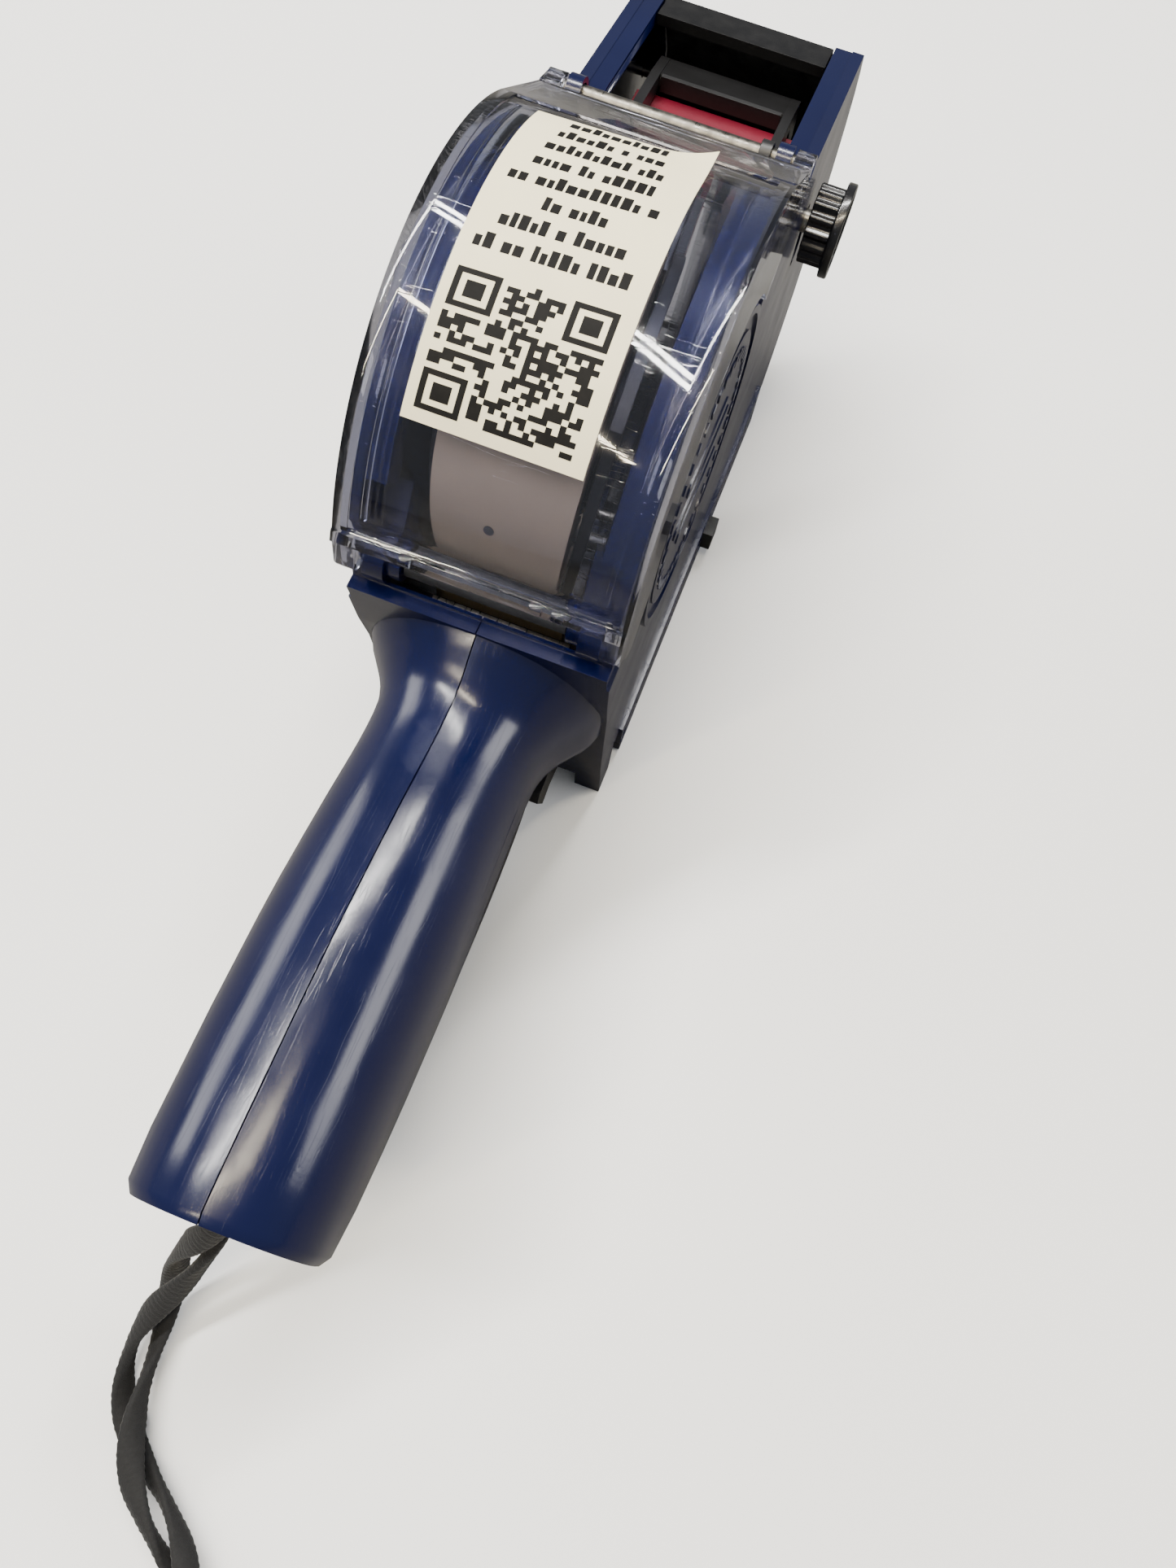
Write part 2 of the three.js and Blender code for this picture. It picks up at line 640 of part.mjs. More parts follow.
// ---------- ink roller ----------
function inkArm() {
  const arms = [1, -1].map((side) => plate(inkArmOutline(), ...spanOn(side)(12, 13.8)));
  const bar = plate([[45, 77.9], [51.6, 77.2], [52.2, 78.4], [45.6, 79.9]], -13.8, 13.8);
  const lip = plate([[45, 79.9], [45, 76.8], [45.9, 76.8], [45.9, 79.9]], -11.6, 11.6);
  const bores = [rod(INK.pivotX, INK.pivotZ, 1.5, -30, 30), rod(INK.x, INK.z, 1.5, -30, 30)];
  return cut(join(...arms, bar, lip), ...bores);
}

function inkArmOutline() {
  return [
    ...arc(INK.pivotX, INK.pivotZ, 2.6, 100, 260, 6),
    [46.6, 76.9],
    [47.2, 60],
    [46.2, 32],
    ...arc(INK.x, INK.z, 2.6, 150, 330, 6),
    [50.4, 34],
    [51.6, 60],
    [52, 78.6],
    [46, 80],
  ];
}

// ---------- feed ----------
function feedWheel() {
  const teeth = Array.from({ length: FEED.teeth }, (_, i) => {
    const a = (i / FEED.teeth) * 2 * Math.PI;
    const b = ((i + 0.85) / FEED.teeth) * 2 * Math.PI;
    return [
      [FEED.x + FEED.r * Math.cos(a), FEED.z + FEED.r * Math.sin(a)],
      [FEED.x + (FEED.r - 1.2) * Math.cos(b), FEED.z + (FEED.r - 1.2) * Math.sin(b)],
    ];
  }).flat();
  const drum = rod(FEED.x, FEED.z, FEED.r - 1.2, -8, 8, 24);
  const ratchet = plate(teeth, -1.2, 1.2);
  return cut(join(drum, ratchet), rod(FEED.x, FEED.z, 1.8, -30, 30));
}

function feedPawl() {
  const shape = [[7.6, 12], [7.7, 13.6], [2, 15.6], ...arc(PAWL.x, PAWL.z, PAWL.r, 90, 270, 6), [2, 12.4]];
  return join(plate(shape, -1.1, 1.1), rod(PAWL.x, PAWL.z, PAWL.pin, -20, 20));
}

// ---------- front ----------
function noseCap() {
  const outer = [
    [54, 84.8],
    [61.2, 83.6],
    [64, 78.9],
    [67.5, 70.8],
    [69.5, 62],
    [70.3, 52],
    [70.5, 40],
    [70.1, 28],
  ];
  const inner = [
    [67.9, 28.2],
    [68.3, 40],
    [68.1, 52],
    [67.3, 61.6],
    [65.3, 70],
    [61.8, 77.6],
    [59, 81.8],
    [54, 82.6],
  ];
  return plate([...outer, ...inner], -16.2, 16.2);
}

// ---------- lanyard ----------
// The middle line of the twisted pair, from the handle's end to the last twist, then the open wrist loop.
const PAIR = [
  [-157.6, 4.5, 41.6],
  [-160.2, 4.8, 36.6],
  [-165.2, 7, 29],
  [-171, 10.6, 19.4],
  [-178, 13.4, 10],
  [-184.5, 14.4, 4.9],
  [-191, 13.6, 3.7],
  [-198, 10.6, 3.6],
  [-204, 5.4, 3.6],
  [-209, -1, 3.6],
  [-213.4, -6.4, 3.6],
  [-219, -10, 3.6],
];
const LOOP = [
  [-226, -10, 1.8],
  [-234, -4, 1.6],
  [-245, -2, 1.6],
  [-257, -5, 1.6],
  [-264, -13, 1.6],
  [-262, -22, 1.6],
  [-253, -27, 1.6],
  [-241, -26, 1.6],
  [-231, -20, 1.8],
];
const PAIR_STEPS = 17;

// One strand of the pair: a point beside the middle line that turns round it.
function strand(sign) {
  const middle = new THREE.CatmullRomCurve3(PAIR.map((p) => new THREE.Vector3(...p)));
  const long = middle.getLength();
  return Array.from({ length: PAIR_STEPS + 1 }, (_, i) => {
    const at = i / PAIR_STEPS;
    const p = middle.getPointAt(at);
    const t = middle.getTangentAt(at);
    const side = new THREE.Vector3(-t.y, t.x, 0).normalize();
    const up = new THREE.Vector3().crossVectors(t, side);
    const turn = ((at * long) / CORD.pitch) * 2 * Math.PI;
    const r = sign * CORD.twistRadius;
    p.addScaledVector(side, r * Math.cos(turn)).addScaledVector(up, r * Math.sin(turn));
    return p.setZ(Math.max(p.z, CORD.thick / 2));
  });
}

function lanyard() {
  const points = [...strand(1), ...LOOP.map((p) => new THREE.Vector3(...p)), ...strand(-1).reverse()];
  return along(points, CORD.thick / 2, 8, 76);
}

// ---------- assembly ----------
add("left_shell", half(1), "blue");
add("right_shell", half(-1), "blue");
SCREWS.forEach((s, i) => add(`shell_screw_${i + 1}`, shellScrew(s), "steel"));

add("base_cover", baseCover(), "blue");
add("base_hinge_pin", rod(BASE_PIN.x, BASE_PIN.z, BASE_PIN.r, -22.2, 22.2), "steel");
add("base_latch_left", baseLatch(1), "black");
add("base_latch_right", baseLatch(-1), "black");

add("top_cover", topCover(), "clear");
add("cover_hinge_shaft", rod(HINGE.x, HINGE.z, HINGE.r, -22.4, 22.4, 20), "steel");
add("hinge_collar", ring(HINGE.x, HINGE.z, 2.2, HINGE.r + GAP, -15.6, -13.6, 20), "black");
add("cover_sticker", sticker(), "paper");

add("label_roll", ring(ROLL.x, ROLL.z, ROLL.r, ROLL.core + GAP, -ROLL.half, ROLL.half, 48), "web");
add("roll_core", ring(ROLL.x, ROLL.z, ROLL.core, ROLL.core - 1.2, -ROLL.half, ROLL.half, 32), "black");
add("roll_cheek_left", rollCheek(1), "black");
add("roll_cheek_right", rollCheek(-1), "black");
add("roll_guard", rollGuard(), "black");
add("label_web", labelWeb(), "web");
add("guide_roller", ring(GUIDE.x, GUIDE.z, GUIDE.r, 1.5, -13.1, 13.1, 20), "rubber");
add("guide_axle", rod(GUIDE.x, GUIDE.z, 1.2, -20.2, 20.2), "steel");
add("rear_panel", box(-68.9, -67.5, -14, 14, 66.4, 71.4), "glossBlack");

add("trigger_lever", triggerLever(), "black");
add("lever_pivot_pin", rod(LEVER.x, LEVER.z, LEVER.r, -20.4, 20.4), "steel");
add("lever_return_spring", returnSpring(), "steel");

add("print_head_frame", headFrame(), "red");
add("head_pin", rod(HEAD_PIN.x, HEAD_PIN.z, HEAD_PIN.r, -HEAD.plateOut, HEAD.plateOut), "steel");
for (let k = 0; k < BAND.count; k++) {
  add(`digit_band_${k + 1}`, digitBand(k), "rubber");
  add(`digit_wheel_${k + 1}`, digitWheel(k), "white");
}
add("selector_shaft", rod(SELECTOR.x, SELECTOR.z, SELECTOR.r, -KNOB.outer + 3, 13.9), "steel");
add("digit_knob", knob(), "glossBlack");
add("band_pointer", box(36.4, 37.8, 8.4, 9.8, 74, 76.6), "white");

add("ink_roller_arm", inkArm(), "black");
add("ink_arm_pin", rod(INK.pivotX, INK.pivotZ, 1.2, -19.5, 19.5), "steel");
add("ink_roller", ring(INK.x, INK.z, INK.r, 1.5, -11.3, 11.3), "ink");
add("ink_roller_axle", rod(INK.x, INK.z, 1.2, -13.8, 13.8), "steel");

add("platen", box(30, 46, -15, 15, 13, 18.5), "rubber");
add("peel_plate", plate([[46.5, 16.6], [54, 16.6], [56.6, 18.4], [46.5, 18.4]], -14, 14), "steel");
add("feed_wheel", feedWheel(), "white");
add("feed_axle", rod(FEED.x, FEED.z, 1.5, -20.4, 20.4), "steel");
add("feed_pawl", feedPawl(), "steel");
add("applicator_roller", ring(APPLICATOR.x, APPLICATOR.z, APPLICATOR.r, 1.8, -13, 13, 32), "rubber");
add("applicator_axle", rod(APPLICATOR.x, APPLICATOR.z, 1.5, -19.5, 19.5), "steel");
add("nose_cap", noseCap(), "glossBlack");

add("lanyard", lanyard(), "cord");

export default group;
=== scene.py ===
"""The looks of a hand-held price labeling gun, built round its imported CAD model.

Lengths in the tables are millimetres in the model's frame: +X forward, +Y to the gun's left, +Z up,
with the origin on the base. mm() turns them into metres. Lights and floor are given in metres.
"""
import json
import math
import random

import bmesh
import bpy
from mathutils import Matrix, Vector


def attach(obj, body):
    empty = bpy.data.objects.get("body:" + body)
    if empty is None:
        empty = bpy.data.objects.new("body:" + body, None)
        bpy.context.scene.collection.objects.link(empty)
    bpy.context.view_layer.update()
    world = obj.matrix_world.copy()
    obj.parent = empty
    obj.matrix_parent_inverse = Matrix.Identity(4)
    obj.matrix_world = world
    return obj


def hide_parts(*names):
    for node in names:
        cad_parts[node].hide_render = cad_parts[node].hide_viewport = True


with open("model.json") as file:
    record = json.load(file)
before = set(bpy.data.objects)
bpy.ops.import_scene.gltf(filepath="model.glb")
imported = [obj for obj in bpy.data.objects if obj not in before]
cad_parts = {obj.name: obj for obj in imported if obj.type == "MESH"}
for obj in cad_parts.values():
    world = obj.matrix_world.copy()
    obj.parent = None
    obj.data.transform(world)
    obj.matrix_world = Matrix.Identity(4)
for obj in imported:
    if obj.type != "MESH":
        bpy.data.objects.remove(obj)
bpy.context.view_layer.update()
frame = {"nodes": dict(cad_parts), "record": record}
scene = bpy.context.scene
MM = 0.001
TINY = 1e-9
SEED = 20


def mm(x, y, z):
    return Vector((x, y, z)) * MM


# ---------- camera ----------
CAMERA_AT = (-155.0, -36.4, 235.1)
CAMERA_RIGHT = Vector((0.34940, -0.93402, 0.07430))
CAMERA_UP = Vector((0.85798, 0.35080, 0.37525))
SENSOR = 36.0  # along the longer side of the frame
LENS = 27.69
CLIP_START = 0.005  # metres


def make_camera():
    data = bpy.data.cameras.new("camera")
    data.lens = LENS
    data.sensor_width = SENSOR
    data.clip_start = CLIP_START
    camera = bpy.data.objects.new("camera", data)
    scene.collection.objects.link(camera)
    back = CAMERA_RIGHT.cross(CAMERA_UP).normalized()
    up = back.cross(CAMERA_RIGHT).normalized()
    turn = Matrix((CAMERA_RIGHT.normalized(), up, back)).transposed().to_4x4()
    camera.matrix_world = Matrix.Translation(mm(*CAMERA_AT)) @ turn
    scene.camera = camera


# ---------- materials ----------
NOISE_LOW, NOISE_HIGH = 0.3, 0.7  # the band that nearly all of a noise falls in
MOTTLE_DETAIL = 4.0
SMUDGE_DETAIL = 5.0
SMOOTHEST = 0.02
SCRATCH_DETAIL = 1.5
SCRATCH_WIDTH = 0.012
SCRATCH_STRENGTH = 0.35


class Paint:
    """A Principled material whose colour, roughness and bump come from procedural noise."""

    def __init__(self, name, color, roughness, metallic=0.0):
        self.material = bpy.data.materials.new(name)
        self.material.use_nodes = True
        self.tree = self.material.node_tree
        self.shader = self.tree.nodes["Principled BSDF"]
        self.set("Base Color", (*color, 1))
        self.set("Roughness", roughness)
        self.set("Metallic", metallic)
        self.color = color
        self.roughness = roughness
        self.height = None
        self.place = self.node("ShaderNodeTexCoord").outputs["Object"]

    def node(self, kind, **values):
        made = self.tree.nodes.new(kind)
        for key, value in values.items():
            setattr(made, key, value)
        return made

    def set(self, socket, value):
        self.shader.inputs[socket].default_value = value
        return self

    def link(self, a, b):
        self.tree.links.new(a, b)

    def noise(self, scale, detail, stretch):
        mapping = self.node("ShaderNodeMapping")
        mapping.inputs["Scale"].default_value = stretch
        self.link(self.place, mapping.inputs["Vector"])
        noise = self.node("ShaderNodeTexNoise")
        noise.inputs["Scale"].default_value = scale
        noise.inputs["Detail"].default_value = detail
        self.link(mapping.outputs["Vector"], noise.inputs["Vector"])
        return noise.outputs["Fac"]

    def mottle(self, scale, amount):
        """The colour drifts between a darker and a lighter tone."""
        ramp = self.node("ShaderNodeValToRGB")
        low, high = ramp.color_ramp.elements
        low.position = NOISE_LOW
        low.color = (*(c * (1 - amount) for c in self.color), 1)
        high.position = NOISE_HIGH
        high.color = (*(min(c * (1 + amount), 1) for c in self.color), 1)
        self.link(self.noise(scale, MOTTLE_DETAIL, (1, 1, 1)), ramp.inputs["Fac"])
        self.link(ramp.outputs["Color"], self.shader.inputs["Base Color"])
        return self

    def smudge(self, scale, amount, stretch=(1, 1, 1)):
        """The roughness drifts, as handling leaves it."""
        spread = self.node("ShaderNodeMapRange")
        spread.inputs["From Min"].default_value = NOISE_LOW
        spread.inputs["From Max"].default_value = NOISE_HIGH
        spread.inputs["To Min"].default_value = max(self.roughness - amount, SMOOTHEST)
        spread.inputs["To Max"].default_value = min(self.roughness + amount, 1)
        self.link(self.noise(scale, SMUDGE_DETAIL, stretch), spread.inputs["Value"])
        self.link(spread.outputs["Result"], self.shader.inputs["Roughness"])
        return self

    def bump(self, value, depth_mm, strength=1.0):
        made = self.node("ShaderNodeBump")
        made.inputs["Distance"].default_value = depth_mm * MM
        made.inputs["Strength"].default_value = strength
        self.link(value, made.inputs["Height"])
        if self.height is not None:
            self.link(self.height, made.inputs["Normal"])
        self.height = made.outputs["Normal"]
        self.link(self.height, self.shader.inputs["Normal"])
        return self

    def grain(self, scale, depth_mm, detail=2.0, stretch=(1, 1, 1)):
        return self.bump(self.noise(scale, detail, stretch), depth_mm)

    def scratches(self, depth_mm, scale=70.0, stretch=(1, 14, 3)):
        """Fine scratches where a stretched noise crosses its middle."""
        fine = self.noise(scale, SCRATCH_DETAIL, stretch)
        away = self.node("ShaderNodeMath", operation="SUBTRACT")
        self.link(fine, away.inputs[0])
        away.inputs[1].default_value = 0.5
        flat = self.node("ShaderNodeMath", operation="ABSOLUTE")
        self.link(away.outputs[0], flat.inputs[0])
        edge = self.node("ShaderNodeMapRange")
        edge.inputs["From Max"].default_value = SCRATCH_WIDTH
        self.link(flat.outputs[0], edge.inputs["Value"])
        return self.bump(edge.outputs["Result"], depth_mm, SCRATCH_STRENGTH)

    def split_by_ray(self, ray, seen, otherwise):
        """Rays of one kind meet the shader seen, and all other rays meet the other one."""
        path = self.node("ShaderNodeLightPath")
        mix = self.node("ShaderNodeMixShader")
        self.link(path.outputs[ray], mix.inputs["Fac"])
        self.link(otherwise.outputs[0], mix.inputs[1])
        self.link(seen.outputs[0], mix.inputs[2])
        self.link(mix.outputs[0], self.tree.nodes["Material Output"].inputs["Surface"])


def moulded(name, color, roughness, coat=0.0, wave=0.03):
    """Moulded plastic: a slow wave in the surface, a fine grain and a few scratches."""
    m = Paint(name, color, roughness)
    m.mottle(45, 0.10).smudge(90, 0.05).grain(120, wave, 1.0).grain(1800, 0.004)
    m.scratches(0.012)
    m.set("Coat Weight", coat).set("Coat Roughness", 0.06)
    return m.material


def clear_material():
    """Clear moulded plastic that lets part of the light through in its shadow."""
    m = Paint("clear_plastic", (0.80, 0.815, 0.95), 0.035)
    m.set("Transmission Weight", 1.0).set("IOR", 1.49)
    m.smudge(140, 0.03, (1, 4, 1)).grain(85, 0.02, 1.0).scratches(0.010, 55.0, (14, 1, 5))
    passing = m.node("ShaderNodeBsdfTransparent")
    passing.inputs["Color"].default_value = (0.40, 0.41, 0.48, 1)
    m.split_by_ray("Is Shadow Ray", passing, m.shader)
    return m.material


def make_materials():
    made = {}
    made["blue"] = moulded("blue_plastic", (0.0012, 0.0030, 0.028), 0.20, wave=0.05)
    made["base_blue"] = moulded("base_blue_plastic", (0.0015, 0.0036, 0.032), 0.27)
    made["black"] = moulded("black_plastic", (0.0055, 0.0055, 0.006), 0.40)
    made["gloss_black"] = moulded("gloss_black_plastic", (0.004, 0.004, 0.0045), 0.24, coat=0.2)
    made["clear"] = clear_material()
    rough_black = Paint("rough_black_plastic", (0.0022, 0.0022, 0.0026), 0.5)
    rough_black.set("Specular IOR Level", 0.3)
    rough_black.mottle(160, 0.4).smudge(300, 0.12).grain(900, 0.05, 4.0)
    made["rough_black"] = rough_black.material
    red = Paint("crimson_plastic", (0.14, 0.002, 0.016), 0.42)
    made["red"] = red.mottle(120, 0.12).smudge(150, 0.08).grain(1500, 0.01).material
    white = Paint("white_plastic", (0.62, 0.62, 0.60), 0.45)
    made["white"] = white.mottle(150, 0.06).smudge(200, 0.1).grain(1500, 0.008).material
    steel = Paint("plain_steel", (0.34, 0.325, 0.29), 0.34, 1.0)
    steel.mottle(300, 0.25).smudge(260, 0.12, (1, 8, 1)).grain(1400, 0.01, 3.0, (6, 1, 6))
    made["steel"] = steel.material
    dark_steel = Paint("dark_steel", (0.16, 0.15, 0.13), 0.38, 1.0)
    dark_steel.mottle(350, 0.4).smudge(300, 0.14, (1, 6, 1)).grain(1200, 0.012, 4.0)
    made["dark_steel"] = dark_steel.material
    rubber = Paint("grey_rubber", (0.020, 0.021, 0.022), 0.70)
    made["rubber"] = rubber.mottle(240, 0.35).smudge(200, 0.1).grain(1300, 0.09, 4.0).material
    ink = Paint("ink_felt", (0.006, 0.003, 0.005), 0.9)
    made["ink"] = ink.mottle(400, 0.5).grain(2200, 0.15, 5.0).material
    paper = Paint("cream_sticker", (0.88, 0.80, 0.54), 0.72)
    paper.mottle(90, 0.035).smudge(120, 0.1).grain(2400, 0.010, 4.0).grain(70, 0.10, 1.0)
    made["paper"] = paper.material
    print_ink = Paint("printed_black", (0.0055, 0.005, 0.0045), 0.65)
    print_ink.set("Specular IOR Level", 0.15)
    made["print"] = print_ink.mottle(500, 0.3).grain(2400, 0.006).material
    web = Paint("label_stock", (0.25, 0.198, 0.135), 0.62)
    made["web"] = web.mottle(60, 0.05).smudge(100, 0.1).grain(1900, 0.012, 3.0).material
    mark = Paint("strip_print", (0.035, 0.032, 0.03), 0.6)
    made["mark"] = mark.mottle(600, 0.3).grain(2000, 0.005).material
    cord = Paint("black_braid", (0.0032, 0.0032, 0.0035), 0.85)
    cord.set("Sheen Weight", 0.12).set("Sheen Roughness", 0.4)
    made["cord"] = cord.mottle(1500, 0.5).grain(3500, 0.12, 3.0).material
    return made


paints = make_materials()

# ---------- light and floor, in metres and watts ----------
WORLD_COLOR = (0.92, 0.95, 1.0)
WORLD_STRENGTH = 0.34
# Ceiling tubes run across the gun and draw the bright streaks over the clear cover.
TUBE_TURN = math.radians(48)
TUBE_Y, TUBE_Z = 0.3, 1.5
TUBE_SIZE = (0.03, 1.8)
TUBE_POWER = 26
TUBES = [
    ("tube_rear", -0.74, (1.0, 0.88, 0.66)),
    ("tube_front", 0.19, (1.0, 0.98, 0.95)),
    ("tube_front_twin", 0.28, (1.0, 0.98, 0.95)),
]
# Soft panels face the gun: name, place, size, power.
PANELS = [
    ("soft_rear", (-1.35, 0.35, 1.4), (0.35, 0.5), 3),
    ("soft_right", (0.5, -1.9, 0.7), (1.4, 0.8), 26),
    ("soft_left", (0.3, 1.9, 0.8), (1.4, 0.8), 26),
]
FLOOR_HALF = 3.0
FLOOR_SEEN_BY_GUN = (0.15, 0.146, 0.138)


def area_light(name, at, size, power, turn, color):
    data = bpy.data.lights.new(name, "AREA")
    data.shape = "RECTANGLE"
    data.size, data.size_y = size
    data.energy = power
    data.color = color
    light = bpy.data.objects.new(name, data)
    scene.collection.objects.link(light)
    light.location = at
    light.rotation_euler = turn


def make_lights():
    world = bpy.data.worlds.new("studio")
    world.use_nodes = True
    sky = world.node_tree.nodes["Background"]
    sky.inputs["Color"].default_value = (*WORLD_COLOR, 1)
    sky.inputs["Strength"].default_value = WORLD_STRENGTH
    scene.world = world
    for name, x, color in TUBES:
        area_light(name, (x, TUBE_Y, TUBE_Z), TUBE_SIZE, TUBE_POWER, (0, 0, TUBE_TURN), color)
    for name, at, size, power in PANELS:
        facing = (-Vector(at)).to_track_quat("-Z", "Y").to_euler()
        area_light(name, at, size, power, facing, (1, 1, 1))


def make_floor():
    """The gun sees a greyer floor than the camera does, as on a large dim table."""
    r = FLOOR_HALF
    mesh = bpy.data.meshes.new("floor")
    mesh.from_pydata([(-r, -r, 0), (r, -r, 0), (r, r, 0), (-r, r, 0)], [], [(0, 1, 2, 3)])
    floor = bpy.data.objects.new("floor", mesh)
    scene.collection.objects.link(floor)
    m = Paint("pale_floor", (0.90, 0.90, 0.89), 0.7)
    m.grain(60, 0.04)
    dim = m.node("ShaderNodeBsdfDiffuse")
    dim.inputs["Color"].default_value = (*FLOOR_SEEN_BY_GUN, 1)
    m.split_by_ray("Is Camera Ray", m.shader, dim)
    mesh.materials.append(m.material)


# ---------- mesh helpers ----------
MERGE_DISTANCE = 1e-7  # metres
CURVE_PARTS = 24  # short lengths between two given points of a smooth line


def object_of(name, points, faces):
    mesh = bpy.data.meshes.new(name)
    mesh.from_pydata(points, [], faces)
    obj = bpy.data.objects.new(name, mesh)
    scene.collection.objects.link(obj)
    made = bmesh.new()
    made.from_mesh(mesh)
    bmesh.ops.remove_doubles(made, verts=made.verts, dist=MERGE_DISTANCE)
    bmesh.ops.recalc_face_normals(made, faces=made.faces)
    made.to_mesh(mesh)
    made.free()
    return obj


def apply_modifiers(obj):
    graph = bpy.context.evaluated_depsgraph_get()
    fresh = bpy.data.meshes.new_from_object(obj.evaluated_get(graph))
    obj.modifiers.clear()
    old = obj.data
    obj.data = fresh
    bpy.data.meshes.remove(old)
    fresh.name = obj.name


def add_bevel(obj, width, segments, angle):
    made = obj.modifiers.new("bevel", "BEVEL")
    made.width = width * MM
    made.segments = segments
    made.limit_method = "ANGLE"
    made.angle_limit = math.radians(angle)
    made.use_clamp_overlap = True


def bevelled(obj, width, segments=2, angle=30):
    add_bevel(obj, width, segments, angle)
    apply_modifiers(obj)
    return obj


def boolean(obj, other, operation):
    made = obj.modifiers.new("boolean", "BOOLEAN")
    made.object = other
    made.operation = operation
    made.solver = "EXACT"
    apply_modifiers(obj)
    bpy.data.objects.remove(other)


def finished(obj, body, material, angle=35, replaces=()):
    """Gives a piece its material and smooth shading, ties it to its body, and hides the CAD nodes it
    replaces.
    """
    obj.data.materials.clear()
    obj.data.materials.append(material)
    obj.data.shade_smooth()
    obj.data.set_sharp_from_angle(angle=math.radians(angle))
    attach(obj, body)
    if replaces:
        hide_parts(*replaces)


def ring_faces(n):
    """The faces of a tube of two rings of n points each, with both ends closed."""
    sides = [(i, (i + 1) % n, n + (i + 1) % n, n + i) for i in range(n)]
    return [tuple(range(n)), tuple(range(2 * n - 1, n - 1, -1)), *sides]


def prism(name, outline, y0, y1):
    """A side view outline of (x, z) made into a solid from y0 to y1."""
    points = [mm(x, y, z) for y in (y0, y1) for x, z in outline]
    return object_of(name, points, ring_faces(len(outline)))


def arc(x, z, r, a0, a1, steps):
    out = []
    for i in range(steps + 1):
        a = math.radians(a0 + (a1 - a0) * i / steps)
        out.append((x + r * math.cos(a), z + r * math.sin(a)))
    return out


def circle(x, z, r, sides):
    out = []
    for i in range(sides):
        a = 2 * math.pi * i / sides
        out.append((x + r * math.cos(a), z + r * math.sin(a)))
    return out


def path_lengths(points):
    """The distance along the points from the first one to each."""
    out = [0.0]
    for a, b in zip(points, points[1:]):
        out.append(out[-1] + (b - a).length)
    return out


def smooth_line(points, steps):
    """Points at even distances along a Catmull-Rom curve through the given ones, and its length."""
    p = [Vector(q) for q in points]
    p = [2 * p[0] - p[1], *p, 2 * p[-1] - p[-2]]
    fine = []
    for i in range(1, len(p) - 2):
        a, b, c, d = p[i - 1 : i + 3]
        k0 = max((b - a).length, TINY) ** 0.5
        k1 = max((c - b).length, TINY) ** 0.5
        k2 = max((d - c).length, TINY) ** 0.5
        m1 = (c - b) - ((c - a) / (k0 + k1) - (b - a) / k0) * k1
        m2 = (c - b) + ((d - c) / k2 - (d - b) / (k1 + k2)) * k1
        for j in range(CURVE_PARTS):
            t = j / CURVE_PARTS
            from_b = 2 * t**3 - 3 * t**2 + 1
            from_m1 = t**3 - 2 * t**2 + t
            from_c = 3 * t**2 - 2 * t**3
            from_m2 = t**3 - t**2
            fine.append(b * from_b + m1 * from_m1 + c * from_c + m2 * from_m2)
    fine.append(p[-2])
    lengths = path_lengths(fine)
    out = []
    at = 0
    for i in range(steps + 1):
        want = lengths[-1] * i / steps
        while at < len(lengths) - 2 and lengths[at + 1] < want:
            at += 1
        share = (want - lengths[at]) / max(lengths[at + 1] - lengths[at], TINY)
        out.append(fine[at].lerp(fine[at + 1], min(share, 1)))
    return out, lengths[-1]


# ---------- lanyard ----------
CORD_WIDE = 4.4
CORD_THIN = 2.1
CORD_STEP = 0.5
CORD_SIDES = 20
CORD_POWER = 0.8  # below 1 the section is squarer than an ellipse
TWIST_RADIUS = 2.0
TWIST_PITCH = 52.0
CORD_FLOOR = 1.5
TURN_KEPT, TURN_TAKEN = 0.8, 0.2
BRAID_PITCH = 2.6
BRAID_RISE = 0.16
BRAID_NARROWEST, BRAID_SPREAD = 0.97, 0.06
PAIR_STEPS = 17
PAIR = [
    (-157.6, 4.5, 41.6),
    (-160.2, 4.8, 36.6),
    (-165.2, 7.0, 29.0),
    (-171.0, 10.6, 19.4),
    (-178.0, 13.4, 10.0),
    (-184.5, 14.4, 4.9),
    (-191.0, 13.6, 3.7),
    (-198.0, 10.6, 3.6),
    (-204.0, 5.4, 3.6),
    (-209.0, -1.0, 3.6),
    (-213.4, -6.4, 3.6),
    (-219.0, -10.0, 3.6),
]
LOOP = [
    (-226.0, -10.0, 1.8),
    (-234.0, -4.0, 1.6),
    (-245.0, -2.0, 1.6),
    (-257.0, -5.0, 1.6),
    (-264.0, -13.0, 1.6),
    (-262.0, -22.0, 1.6),
    (-253.0, -27.0, 1.6),
    (-241.0, -26.0, 1.6),
    (-231.0, -20.0, 1.8),
]


def strand(sign):
    """One cord of the twisted pair, with the direction away from its neighbour at each point."""
    middle, long = smooth_line(PAIR, PAIR_STEPS)
    points, outward = [], []
    for i, p in enumerate(middle):
        a = middle[max(i - 1, 0)]
        b = middle[min(i + 1, PAIR_STEPS)]
        t = (b - a).normalized()
        side = Vector((-t.y, t.x, 0)).normalized()
        up = t.cross(side)
        turn = i / PAIR_STEPS * long / TWIST_PITCH * 2 * math.pi
        away = sign * (side * math.cos(turn) + up * math.sin(turn))
        q = p + away * TWIST_RADIUS
        q.z = max(q.z, CORD_FLOOR)
        points.append(q)
        outward.append(away)
    return points, outward


def square_to(direction, t):
    """The part of a direction that is square to t."""
    return (direction - t * direction.dot(t)).normalized()


